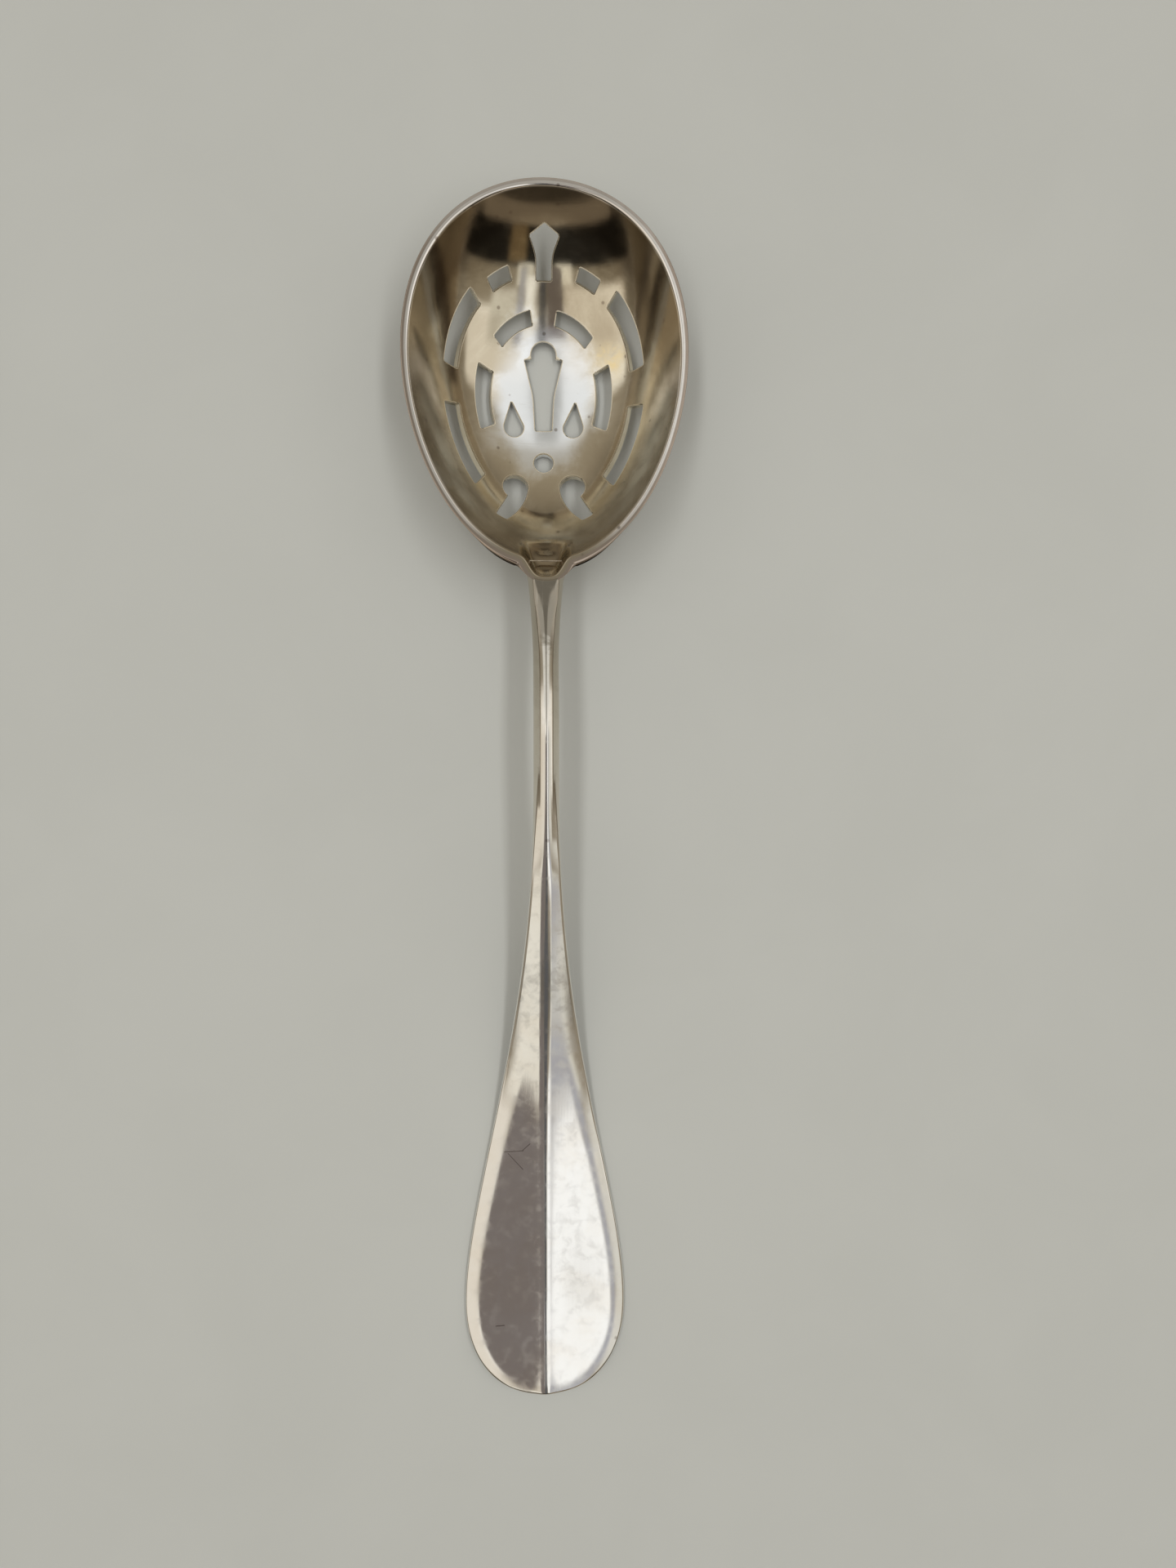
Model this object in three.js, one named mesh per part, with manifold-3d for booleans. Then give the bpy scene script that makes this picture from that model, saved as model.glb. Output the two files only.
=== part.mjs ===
// Pierced serving spoon lying face up: bowl toward +Y, handle toward -Y, the table at Z = 0. Sizes in mm.
import * as THREE from 'three';
import { mergeVertices } from 'three/addons/utils/BufferGeometryUtils.js';
import Module from 'manifold-3d';

const wasm = await Module();
wasm.setup();

// Bowl: an egg-shaped pressing. Length and width are over the rim, the width across the middle.
const bowlLength = 61.4;
const bowlWidth = 45.4;
const bowlDepth = 14.8;
const bowlSheet = 1.2;
const rimWall = 1.15;
const heelWall = 2.1;
const eggLean = 0.12;
const eggFullness = 0.05;
const wallSteepness = 0.55;
const rimTurn = 0.92;
const heelFrom = 0.8;

// Lip: the small pinch at the heel where the hollow runs out into the neck.
const lipReach = 2.8;
const lipWidth = 5.6;
const lipSpread = 7.4;
const lipFlatness = 6;
const lipRoundness = 4;
const lipWall = 0.9;
const lipFade = 0.86;

// Piercings: rings as shares of the way from the middle of the bowl to its rim, ends in degrees from +X.
const outerUpperRing = { inner: 0.67, outer: 0.76, from: 11.2, to: 47.2 };
const outerLowerRing = { inner: 0.66, outer: 0.767, from: -43.9, to: -5.7 };
const outerTopRing = { inner: 0.668, outer: 0.735, from: 57.5, to: 70.3 };
const innerUpperRing = { inner: 0.428, outer: 0.506, from: 43.5, to: 78.7 };
const innerSideRing = { inner: 0.415, outer: 0.53, from: -20.2, to: 21.3 };

// Piercings of the middle motif, in mm about the middle of the bowl, drawn for a bowl of the pattern's size.
const patternWidth = 45.4;
const patternLength = 61.4;
const topSlotFoot = 18.9;
const topSlotHeight = 6.9;
const topSlotHead = 4.8;
const topSlotNeck = 2.5;
const topSlotWaist = 2.7;
const topSlotPoint = 1.4;
const topSlotWaistUp = 3.1;
const keyholeFoot = -4.95;
const keyholeHeight = 14.85;
const keyholeHead = 4.2;
const keyholeShoulder = 6.4;
const keyholeFootWidth = 2.8;
const keyholeWaist = 3.4;
const keyholeWaistUp = 5.4;
const keyholeChest = 4.4;
const keyholeChestUp = 7.9;
const keyholeShoulderUp = 11.9;
const teardropOffset = 5.05;
const teardropBottom = -6.2;
const teardropHeight = 6.1;
const teardropRadius = 1.65;
const teardropLean = 0.4;
const dotCentre = -10.7;
const dotRadius = 1.65;
const hookOffset = 4.75;
const hookCentre = -15.2;
const hookRadius = 2.1;
const hookReach = 6.4;
const hookSpread = 3.15;
const hookTail = 1.7;
const hookTailRise = 0.9;
const hookBelly = 1.7;
const hookBellyDrop = 3.7;

// Handle: a ridged stem that arches over the table and flares into a flat end.
const handleLength = 136;
const neckWidth = 5.6;
const neckLength = 14;
const neckThickness = 4;
const neckCurve = 2;
const neckEdge = 1;
const rootFlare = 0.5;
const rootFlareAt = 2.5;
const rootFlareLength = 0.7;
const rootFlareEnd = 2.9;
const keelNarrowing = 0.4;
const stemWidth = 4.1;
const stemThickness = 3.4;
const stemEdge = 1.9;
const stemRound = 0.7;
const crestWidth = 1.25;
const neckCrest = 3.6;
const neckCrestLength = 4;
const crestSwell = 0.6;
const crestSwellAt = 66;
const crestSwellLength = 22;
const crestShareMost = 0.72;
const flareStart = 33.4;
const flareLag = 0.467;
const flareLead = 0.807;
const endWidth = 27.4;
const endRound = 15.5;
const endFullness = 2.3;
const endThickness = 2.1;
const endEdge = 1.3;
const endHollow = 1.15;
const edgeRound = 0.45;
const edgeRoll = 0.35;
const edgeRollWidth = 3.2;
const archAt = 22;
const archRise = 2.6;
const restFromTip = 18;
const restLength = 22;
const tipLift = 2.4;
const tipFade = 0.4;

// Joint: a tongue under the heel, and the solder between it and the bowl.
const tongueReach = 9;
const tongueWidth = 7;
const tongueThickness = 1.1;
const solderFilm = 0.3;
const seamGap = 0.1;

// Fineness of the meshes.
const bowlSectors = 80;
const bowlRings = 12;
const ringCrowding = 1.5;
const heelCrowding = 0.5;
const stemStations = 30;
const roundStations = 12;
const rootStep = 0.5;
const cornerShare = 0.3;
const tipTurn = THREE.MathUtils.degToRad(84);

const innerHalfWidth = bowlWidth / 2 - rimWall;
const innerHalfLength = bowlLength / 2 - rimWall;
const lipEnd = innerHalfLength + lipReach + lipWall;
const overallLength = bowlLength / 2 + lipEnd + handleLength;
const bowlMiddle = overallLength / 2 - bowlLength / 2;
const lipY = bowlMiddle - lipEnd;
const rimZ = bowlSheet + bowlDepth;
const rootLength = neckThickness + 1.5;

const smooth = (from, to, value) => THREE.MathUtils.smoothstep((value - from) / (to - from), 0, 1);
const mix = THREE.MathUtils.lerp;

// A closed solid from a geometry, with its faces turned outward.
function solidOf(geometry, keepFacets = false) {
  const plain = new THREE.BufferGeometry();
  plain.setAttribute('position', geometry.getAttribute('position'));
  plain.setIndex(geometry.index);
  const merged = mergeVertices(plain, 1e-4);
  const place = merged.getAttribute('position');
  const corner = merged.index.array;
  const triangles = [];
  let volume = 0;
  for (let i = 0; i < corner.length; i += 3) {
    const [a, b, c] = [corner[i], corner[i + 1], corner[i + 2]];
    if (a === b || b === c || c === a) continue;
    triangles.push([a, b, c]);
    const [p, q, r] = [a, b, c].map((k) => new THREE.Vector3().fromBufferAttribute(place, k));
    volume += p.dot(q.cross(r));
  }
  const ordered = volume > 0 ? triangles : triangles.map(([a, b, c]) => [a, c, b]);
  const triVerts = new Uint32Array(ordered.flat());
  const mesh = { numProp: 3, vertProperties: new Float32Array(place.array), triVerts };
  if (keepFacets) mesh.faceID = new Uint32Array(ordered.length).map((_, i) => i);
  return new wasm.Manifold(new wasm.Mesh(mesh));
}

function geometryOf(solid) {
  const mesh = solid.getMesh();
  const geometry = new THREE.BufferGeometry();
  geometry.setAttribute('position', new THREE.BufferAttribute(new Float32Array(mesh.vertProperties), 3));
  geometry.setIndex(new THREE.BufferAttribute(new Uint32Array(mesh.triVerts), 1));
  return geometry;
}

// The pinch: broad and flat low on the heel wall, a narrow bell at the rim.
const lipShare = (v) => smooth(-lipFade, -1, v);
const lipBell = (x, pinch) => {
  const spread = mix(lipSpread, lipWidth, pinch);
  return Math.exp(-(Math.abs(2 * x / spread) ** mix(lipFlatness, lipRoundness, pinch)));
};
const heelReach = (x, v) => innerHalfLength + lipReach * lipBell(x, lipShare(v)) * lipShare(v);
const eggWidth = (v) => innerHalfWidth * (1 + eggLean * v + eggFullness * v * v);

// From shares of the bowl, u across and v along, to plan mm about its middle. The rim is the unit circle.
function planPoint(u, v) {
  const x = u * eggWidth(v);
  return [x, v * heelReach(x, v)];
}

function rimShare(x, y) {
  let v = y / innerHalfLength;
  for (let i = 0; i < 12; i += 1) v = y / heelReach(x, v);
  return { share: Math.hypot(x / eggWidth(v), v), v };
}

function insideHeight(x, y) {
  const square = rimShare(x, y).share ** 2;
  return bowlSheet + bowlDepth * ((1 - wallSteepness) * square + wallSteepness * square * square);
}

// Presses a plan point to the bowl: its inside at depth 0, its back at depth 1, and out by the offset.
function press(x, y, depth, offset = 0) {
  const step = 0.02;
  const slopeX = (insideHeight(x + step, y) - insideHeight(x - step, y)) / (2 * step);
  const slopeY = (insideHeight(x, y + step) - insideHeight(x, y - step)) / (2 * step);
  const { share, v } = rimShare(x, y);
  const level = smooth(rimTurn, 1, share);
  const outward = new THREE.Vector3(slopeX, slopeY, -1).normalize();
  if (level > 0) outward.lerp(new THREE.Vector3(slopeX, slopeY, 0).normalize(), level).normalize();
  const heel = mix(heelWall, lipWall, lipBell(x, 1));
  const wall = mix(bowlSheet, mix(rimWall, heel, smooth(-heelFrom, -1, v)), level);
  return outward.multiplyScalar(depth * (wall + offset)).add(new THREE.Vector3(x, y, insideHeight(x, y)));
}

// The flat blank in plan, thickness 0 to 1, with the sectors closer together at the heel.
function blankGeometry() {
  const profile = [];
  const ringShare = (i) => 1 - (1 - i / bowlRings) ** ringCrowding;
  for (let i = 0; i <= bowlRings; i += 1) profile.push(new THREE.Vector2(ringShare(i), 0));
  for (let i = bowlRings; i >= 0; i -= 1) profile.push(new THREE.Vector2(ringShare(i), 1));
  const geometry = new THREE.LatheGeometry(profile, bowlSectors);
  const place = geometry.getAttribute('position');
  for (let i = 0; i < place.count; i += 1) {
    const share = Math.hypot(place.getX(i), place.getZ(i));
    const turn = Math.atan2(place.getZ(i), place.getX(i));
    const angle = turn - heelCrowding * Math.cos(turn);
    const [x, y] = planPoint(share * Math.cos(angle), share * Math.sin(angle));
    place.setXYZ(i, x, y, place.getY(i));
  }
  return geometry;
}

// The room taken by the bowl and all above it, grown outward by the offset.
function seatSolid(offset) {
  const geometry = blankGeometry();
  const place = geometry.getAttribute('position');
  for (let i = 0; i < place.count; i += 1) {
    const at = press(place.getX(i), place.getY(i), 1, offset);
    const height = place.getZ(i) < 0.5 ? rimZ + rootLength : at.z;
    place.setXYZ(i, at.x, at.y + bowlMiddle, height);
  }
  return solidOf(geometry);
}

function punch(shape, sides = 8) {
  const geometry = new THREE.ExtrudeGeometry(shape, { depth: 3, bevelEnabled: false, curveSegments: sides });
  geometry.translate(0, 0, -1);
  return solidOf(mergeVertices(geometry.deleteAttribute('normal').deleteAttribute('uv'), 1e-4));
}

// Mirror twins: the same outline on both sides of the bowl.
function twinPunches(points) {
  const left = points.map(([x, y]) => new THREE.Vector2(-x, y)).reverse();
  const right = points.map(([x, y]) => new THREE.Vector2(x, y));
  return [punch(new THREE.Shape(right)), punch(new THREE.Shape(left))];
}

function ringPunches(ring) {
  const steps = 1 + Math.ceil((ring.to - ring.from) / 8);
  const points = [];
  const along = (share, i) => {
    const angle = THREE.MathUtils.degToRad(mix(ring.from, ring.to, i / steps));
    points.push(planPoint(share * Math.cos(angle), share * Math.sin(angle)));
  };
  for (let i = 0; i <= steps; i += 1) along(ring.outer, i);
  for (let i = steps; i >= 0; i -= 1) along(ring.inner, i);
  return twinPunches(points);
}

const fitX = bowlWidth / patternWidth;
const fitY = bowlLength / patternLength;

// Turns a drawn shape into points of the pattern fitted to the bowl.
const fitted = (shape, sides = 5) => shape.getPoints(sides).map((p) => [p.x * fitX, p.y * fitY]);

function middlePunch(half) {
  const right = half.map(([x, y]) => new THREE.Vector2(x * fitX, y * fitY));
  const left = half.filter(([x]) => x > 0).reverse().map(([x, y]) => new THREE.Vector2(-x * fitX, y * fitY));
  return punch(new THREE.Shape([...right, ...left]));
}

// Top slot: a pointed head over a waisted foot.
function topSlotPunch() {
  const top = topSlotFoot + topSlotHeight;
  return middlePunch([
    [topSlotNeck / 2, topSlotFoot],
    [topSlotWaist / 2, topSlotFoot + topSlotWaistUp],
    [topSlotHead / 2, top - topSlotPoint],
    [0, top],
  ]);
}

// Keyhole: a round head, a step out to the shoulders, and sides that draw in to the foot.
function keyholePunch() {
  const top = keyholeFoot + keyholeHeight;
  const radius = keyholeHead / 2;
  const head = new THREE.Path().absarc(0, top - radius, radius, -0.35, Math.PI / 2, false).getPoints(5);
  return middlePunch([
    [keyholeFootWidth / 2, keyholeFoot],
    [keyholeWaist / 2, keyholeFoot + keyholeWaistUp],
    [keyholeChest / 2, keyholeFoot + keyholeChestUp],
    [keyholeShoulder / 2, keyholeFoot + keyholeShoulderUp],
    ...head.slice(0, -1).map((p) => [p.x, p.y]),
    [0, top],
  ]);
}

// Teardrop: a round bottom drawn up to a point that leans outward.
function teardropPunches() {
  const centreY = teardropBottom + teardropRadius;
  const shape = new THREE.Shape();
  shape.absarc(teardropOffset, centreY, teardropRadius, Math.PI * 0.92, Math.PI * 2.08, false);
  shape.lineTo(teardropOffset + teardropLean, teardropBottom + teardropHeight);
  return twinPunches(fitted(shape, 10));
}

function dotPunch() {
  const shape = new THREE.Shape();
  shape.absellipse(0, dotCentre * fitY, dotRadius * fitX, dotRadius * fitY, 0, 2 * Math.PI);
  return punch(shape, 20);
}

// Hook: a round eye with a tail that sweeps down and outward.
function hookPunches() {
  const tailX = hookOffset + hookSpread;
  const tailY = hookCentre - hookReach;
  const shape = new THREE.Shape();
  shape.absarc(hookOffset, hookCentre, hookRadius, -0.3 * Math.PI, 1.02 * Math.PI, false);
  shape.quadraticCurveTo(hookOffset - hookBelly, hookCentre - hookBellyDrop, tailX - hookTail, tailY);
  shape.lineTo(tailX, tailY + hookTailRise);
  return twinPunches(fitted(shape, 10));
}

function bowlSolid() {
  const punches = [
    topSlotPunch(),
    keyholePunch(),
    dotPunch(),
    ...teardropPunches(),
    ...hookPunches(),
    ...[outerUpperRing, outerLowerRing, outerTopRing, innerUpperRing, innerSideRing].flatMap(ringPunches),
  ];
  const blank = punches.reduce((plate, tool) => plate.subtract(tool), solidOf(blankGeometry(), true));
  const geometry = geometryOf(blank);
  const place = geometry.getAttribute('position');
  for (let i = 0; i < place.count; i += 1) {
    const at = press(place.getX(i), place.getY(i), place.getZ(i));
    place.setXYZ(i, at.x, at.y + bowlMiddle, at.z);
  }
  return solidOf(geometry);
}

// Half width, underside height and section of the handle at a distance from the lip.
const widestAt = handleLength - endRound;
const flare = new THREE.CubicBezierCurve(
  new THREE.Vector2(flareStart, stemWidth / 2),
  new THREE.Vector2(mix(flareStart, widestAt, flareLag), stemWidth / 2),
  new THREE.Vector2(mix(flareStart, widestAt, flareLead), endWidth / 2),
  new THREE.Vector2(widestAt, endWidth / 2),
);
const restStart = handleLength - restFromTip - restLength;
const archUnder = rimZ + archRise - stemThickness;

function underHeight(s) {
  if (s < archAt) return mix(rimZ - neckThickness, archUnder, smooth(0, archAt, s));
  if (s < restStart) return mix(archUnder, 0, smooth(archAt, restStart, s));
  return tipLift * Math.max(0, (s - handleLength + restFromTip) / restFromTip) ** 2;
}

// Half width of the crest: broad where it leaves the lip, swelling a little at the flare.
function crestHalf(s) {
  const neck = neckCrest * Math.exp(-Math.max(s, 0) / neckCrestLength);
  const swell = crestSwell * Math.exp(-(((s - crestSwellAt) / crestSwellLength) ** 2));
  return (crestWidth + neck + swell) / 2;
}

function station(s, half) {
  const flat = smooth(flareStart, widestAt, s);
  const neck = 1 - smooth(0, neckLength, s);
  const full = mix(mix(stemThickness, endThickness, flat), neckThickness, neck);
  const edge = mix(mix(stemEdge, endEdge, flat), full - neckEdge, neck);
  const tipShare = s < widestAt ? 1 : (2 * half / endWidth) ** tipFade;
  return {
    y: lipY - s,
    half,
    under: underHeight(s),
    ridge: mix(edge - edgeRoll * flat, full, tipShare),
    edge,
    crest: Math.min(crestHalf(s), crestShareMost * half),
    hollow: mix(1, endHollow, flat),
    roll: edgeRoll * flat * tipShare,
    round: Math.min(mix(stemRound, edgeRound, flat), cornerShare * half),
    keel: 1 - keelNarrowing * smooth(1, -rootFlareEnd, s),
  };
}

function handleStations() {
  const stations = [];
  const straight = (s) => {
    const near = Math.max(s, -rootFlareEnd);
    const taper = (1 - Math.min(1, near / neckLength)) ** neckCurve;
    const fillet = rootFlare * Math.exp(-(near + rootFlareAt) / rootFlareLength);
    stations.push(station(s, stemWidth / 2 + (neckWidth - stemWidth) / 2 * taper + fillet));
  };
  for (let s = -rootLength; s < 0; s += rootStep) straight(s);
  for (let i = 0; i < stemStations / 2; i += 1) straight(flareStart * (i / (stemStations / 2)) ** 1.3);
  for (let i = 0; i < stemStations; i += 1) {
    const at = flare.getPoint(i / stemStations);
    stations.push(station(at.x, at.y));
  }
  const power = 2 / endFullness;
  for (let i = 0; i <= roundStations; i += 1) {
    const turn = tipTurn * (i / roundStations);
    const reach = endRound * (Math.sin(turn) / Math.sin(tipTurn)) ** power;
    stations.push(station(widestAt + reach, endWidth / 2 * Math.cos(turn) ** power));
  }
  return stations;
}

// One closed section: flat underside, rounded edges, and sloping planes up to the crest.
function sectionPoints(at) {
  const { half, under, edge, crest, round } = at;
  const low = Math.min(round, cornerShare * edge);
  const top = under + edge - at.roll;
  const side = [];
  side.push([half * at.keel - low, under]);
  side.push([half * at.keel - cornerShare * low, under + cornerShare * low]);
  side.push([half * at.keel, under + low]);
  side.push([half, top - round]);
  side.push([half - cornerShare * round, top - cornerShare * round]);
  const reach = half - round - crest;
  const rollFrom = 1 - Math.min(edgeRollWidth / reach, 0.5);
  for (const share of [1, mix(rollFrom, 1, 0.5), rollFrom, rollFrom * 0.6, rollFrom * 0.25, 0]) {
    const x = crest + share * reach;
    const slope = (at.ridge - edge) * (1 - (x - crest) / (half - crest)) ** at.hollow;
    const roll = at.roll * Math.max(0, (share - rollFrom) / (1 - rollFrom)) ** 2;
    side.push([x, under + edge + slope - roll]);
  }
  const mirrored = side.map(([x, z]) => [-x, z]).reverse();
  return [[0, under], ...side, [0, under + at.ridge], ...mirrored];
}

function loftSolid(stations) {
  const rings = stations.map((at) => sectionPoints(at).map(([x, z]) => [x, at.y, z]));
  const count = rings[0].length;
  const index = [];
  for (let i = 0; i + 1 < rings.length; i += 1) {
    for (let j = 0; j < count; j += 1) {
      const k = (j + 1) % count;
      const [a, b, c, d] = [i * count + j, i * count + k, (i + 1) * count + k, (i + 1) * count + j];
      index.push(a, b, c, a, c, d);
    }
  }
  const last = (rings.length - 1) * count;
  for (let j = 1; j + 1 < count; j += 1) {
    index.push(0, j + 1, j);
    index.push(last, last + j, last + j + 1);
  }
  const geometry = new THREE.BufferGeometry();
  geometry.setAttribute('position', new THREE.Float32BufferAttribute(rings.flat(2), 3));
  geometry.setIndex(index);
  return solidOf(geometry);
}

// The tongue: a round-ended strip in plan that keeps an even thickness along the back of the bowl.
function tongueSolid() {
  const radius = tongueWidth / 2;
  const shape = new THREE.Shape();
  shape.moveTo(-neckWidth / 2, lipY - seamGap);
  shape.lineTo(neckWidth / 2, lipY - seamGap);
  shape.lineTo(radius, lipY + lipReach + heelWall);
  shape.absarc(0, lipY + tongueReach - radius, radius, 0, Math.PI, false);
  shape.lineTo(-radius, lipY + lipReach + heelWall);
  const top = rimZ - neckThickness + tongueThickness / 2;
  const geometry = new THREE.ExtrudeGeometry(shape, { depth: top, bevelEnabled: false, curveSegments: 10 });
  const strip = solidOf(mergeVertices(geometry.deleteAttribute('normal').deleteAttribute('uv'), 1e-4));
  return strip.intersect(seatSolid(2 * seamGap + solderFilm + tongueThickness));
}

function steel(colour, roughness) {
  return new THREE.MeshStandardMaterial({ color: colour, roughness, metalness: 1 });
}

const whole = loftSolid(handleStations()).add(tongueSolid());
const handle = whole.subtract(seatSolid(2 * seamGap + solderFilm));
const solder = whole.intersect(seatSolid(seamGap + solderFilm)).subtract(seatSolid(seamGap));

const group = new THREE.Group();
group.name = 'olive_spoon';
const pieces = [
  ['pierced_bowl', bowlSolid(), steel(0xb3a68e, 0.24)],
  ['handle', handle, steel(0xc8c3ba, 0.22)],
  ['solder_seam', solder, steel(0x9c9484, 0.35)],
];
for (const [name, solid, material] of pieces) {
  const mesh = new THREE.Mesh(geometryOf(solid), material);
  mesh.name = name;
  group.add(mesh);
}
export default group;
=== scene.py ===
import math

import bpy
import numpy as np
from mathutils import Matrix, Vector
from mathutils.bvhtree import BVHTree
from mathutils.geometry import delaunay_2d_cdt


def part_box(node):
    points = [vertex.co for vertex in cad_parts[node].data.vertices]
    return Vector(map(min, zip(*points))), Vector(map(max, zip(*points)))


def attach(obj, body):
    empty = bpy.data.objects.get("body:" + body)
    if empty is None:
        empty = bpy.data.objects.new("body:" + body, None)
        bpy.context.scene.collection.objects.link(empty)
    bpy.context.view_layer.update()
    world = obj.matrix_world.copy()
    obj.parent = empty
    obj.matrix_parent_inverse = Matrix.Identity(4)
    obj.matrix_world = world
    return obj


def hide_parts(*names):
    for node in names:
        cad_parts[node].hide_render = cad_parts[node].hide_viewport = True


# Pierced olive spoon, face up: bowl toward +Y, handle toward -Y. Shapes are worked out in mm.
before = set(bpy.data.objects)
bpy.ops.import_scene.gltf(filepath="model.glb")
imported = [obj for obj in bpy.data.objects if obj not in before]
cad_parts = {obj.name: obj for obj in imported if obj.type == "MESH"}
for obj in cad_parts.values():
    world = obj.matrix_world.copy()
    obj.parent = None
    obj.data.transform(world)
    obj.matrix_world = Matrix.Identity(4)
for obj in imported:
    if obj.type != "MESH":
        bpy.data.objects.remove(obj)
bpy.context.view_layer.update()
mm = 0.001
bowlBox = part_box("pierced_bowl")
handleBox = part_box("handle")
print("frame loaded:", ", ".join(sorted(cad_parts)))


def smooth(start, end, value):
    share = np.clip((value - start) / (end - start), 0, 1)
    return share * share * (3 - 2 * share)


def mix(first, second, share):
    return first + (second - first) * share


def unit(vectors):
    return vectors / np.maximum(np.linalg.norm(vectors, axis=-1, keepdims=True), 1e-12)


# a curve from first to last that the corner pulls toward itself
def rounded(first, corner, last, t):
    return mix(mix(first, corner, t), mix(corner, last, t), t)


def runLengths(steps):
    return np.concatenate([[0], np.cumsum(steps)])


def gapTo(points, loop):
    return np.linalg.norm(points[:, None] - loop[None], axis=2).min(1)


# quads between lines of point numbers
def quads(lines):
    pairs = zip(lines, lines[1:])
    return [(a[j], b[j], b[j + 1], a[j + 1]) for a, b in pairs for j in range(len(a) - 1)]


def linked(name, data):
    made = bpy.data.objects.new(name, data)
    bpy.context.scene.collection.objects.link(made)
    return made


def facingOut(places, faces, normals):
    turned = []
    for face in faces:
        a, b, c = places[face[0]], places[face[1]], places[face[2]]
        out = np.cross(b - a, c - b) @ normals[list(face)].sum(0)
        turned.append(face if out > 0 else face[::-1])
    return turned


def newPiece(name, places, faces, normals, node, marks=None):
    mesh = bpy.data.meshes.new(name)
    if normals is not None:
        faces = facingOut(places, faces, normals)
    mesh.from_pydata([tuple(p) for p in np.asarray(places) * mm], [], faces)
    mesh.update()
    mesh.polygons.foreach_set("use_smooth", [True] * len(mesh.polygons))
    if normals is not None:
        mesh.normals_split_custom_set_from_vertices([tuple(n) for n in normals])
    for label, values in (marks or {}).items():
        mesh.attributes.new(label, "FLOAT", "POINT").data.foreach_set("value", values)
    piece = linked(name, mesh)
    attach(piece, "root")
    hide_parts(node)
    return piece


# The bowl: an egg-shaped pressing with a pinched lip at the heel
bowl = {
    "length": 61.4,
    "width": 45.4,
    "depth": 14.8,
    "sheet": 1.2,
    "rimWall": 1.15, "rimTurn": 0.92, "rimStep": 0.4, "rimRoundIn": 0.26, "rimRoundOut": 0.22,
    "rimRoundReach": 1.2, "rimInRows": (0.15, 1.0, 5), "rimInReach": 1.15,
    "rimOutRows": (0.0, 1.0, 6), "rimClear": 0.12,
    "heelWall": 2.1, "heelFrom": 0.8, "heelRoundOut": 1.05,
    "eggLean": 0.12, "eggFullness": 0.05,
    "steepness": 0.55,
    "lipReach": 2.8, "lipWidth": 5.6, "lipSpread": 7.4, "lipFlatness": 6.0, "lipRoundness": 4.0,
    "lipWall": 0.9, "lipFade": 0.86,
    "gridStep": 0.55,
    "jointRound": 0.06, "jointHalf": 2.1, "jointFade": 3.9,
    "holeStep": 0.22, "holeCorner": 0.22, "holeEdge": 0.15, "holeClear": 0.6,
    "cornerMost": 0.45,
    "weld": 1e-7,
}
halfWidth = bowl["width"] / 2 - bowl["rimWall"]
halfLength = bowl["length"] / 2 - bowl["rimWall"]
lipEnd = halfLength + bowl["lipReach"] + bowl["lipWall"]
bowlMiddle = bowlBox[1].y / mm - bowl["length"] / 2
rimZ = bowl["sheet"] + bowl["depth"]
lipY = bowlMiddle - lipEnd


# broad and flat low on the heel wall, narrower and rounder at the rim
def lipBell(x, pinch=1.0):
    spread = mix(bowl["lipSpread"], bowl["lipWidth"], pinch)
    power = mix(bowl["lipFlatness"], bowl["lipRoundness"], pinch)
    return np.exp(-(np.abs(2 * x / spread) ** power))


def heelReach(x, v):
    pinch = smooth(-bowl["lipFade"], -1, v)
    return halfLength + bowl["lipReach"] * lipBell(x, pinch) * pinch


def eggWidth(v):
    return halfWidth * (1 + bowl["eggLean"] * v + bowl["eggFullness"] * v * v)


# shares of the bowl, u across and v along, to plan mm about its middle
def planPoint(u, v):
    x = u * eggWidth(v)
    return np.stack([x, v * heelReach(x, v)], -1)


def ringPoint(share, turn):
    return planPoint(share * np.cos(turn), share * np.sin(turn))


# the way back, by a few rounds: share of the way to the rim, and v
def rimShare(x, y, rounds=12):
    v = y / halfLength
    for _ in range(rounds):
        v = y / heelReach(x, v)
    return np.hypot(x / eggWidth(v), v), v


def insideHeight(x, y):
    square = rimShare(x, y)[0] ** 2
    return bowl["sheet"] + bowl["depth"] * mix(square, square * square, bowl["steepness"])


def insideSlope(x, y, step=0.02):
    across = insideHeight(x + step, y) - insideHeight(x - step, y)
    along = insideHeight(x, y + step) - insideHeight(x, y - step)
    return across / (2 * step), along / (2 * step)


# plan point to the pressed bowl: inside at depth 0, back at depth 1
def press(plan, depth):
    x, y = plan[:, 0], plan[:, 1]
    slopeX, slopeY = insideSlope(x, y)
    share, v = rimShare(x, y)
    level = smooth(bowl["rimTurn"], 1, share)[:, None]
    down = unit(np.stack([slopeX, slopeY, -np.ones_like(x)], -1))
    aside = unit(np.stack([slopeX, slopeY, np.zeros_like(x)], -1))
    outward = unit(mix(down, aside, level))
    heel = mix(bowl["heelWall"], bowl["lipWall"], lipBell(x))
    edge = mix(bowl["rimWall"], heel, smooth(-bowl["heelFrom"], -1, v))
    wall = mix(bowl["sheet"], edge, level[:, 0])
    inside = np.stack([x, y + bowlMiddle, insideHeight(x, y)], -1)
    return inside + outward * (depth * wall)[:, None]


def insideNormal(plan):
    slopeX, slopeY = insideSlope(plan[:, 0], plan[:, 1])
    return unit(np.stack([-slopeX, -slopeY, np.ones_like(slopeX)], -1))


def backNormal(plan, step=0.03):
    across = press(plan + [step, 0], 1) - press(plan - [step, 0], 1)
    along = press(plan + [0, step], 1) - press(plan - [0, step], 1)
    return unit(np.cross(along, across))


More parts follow.
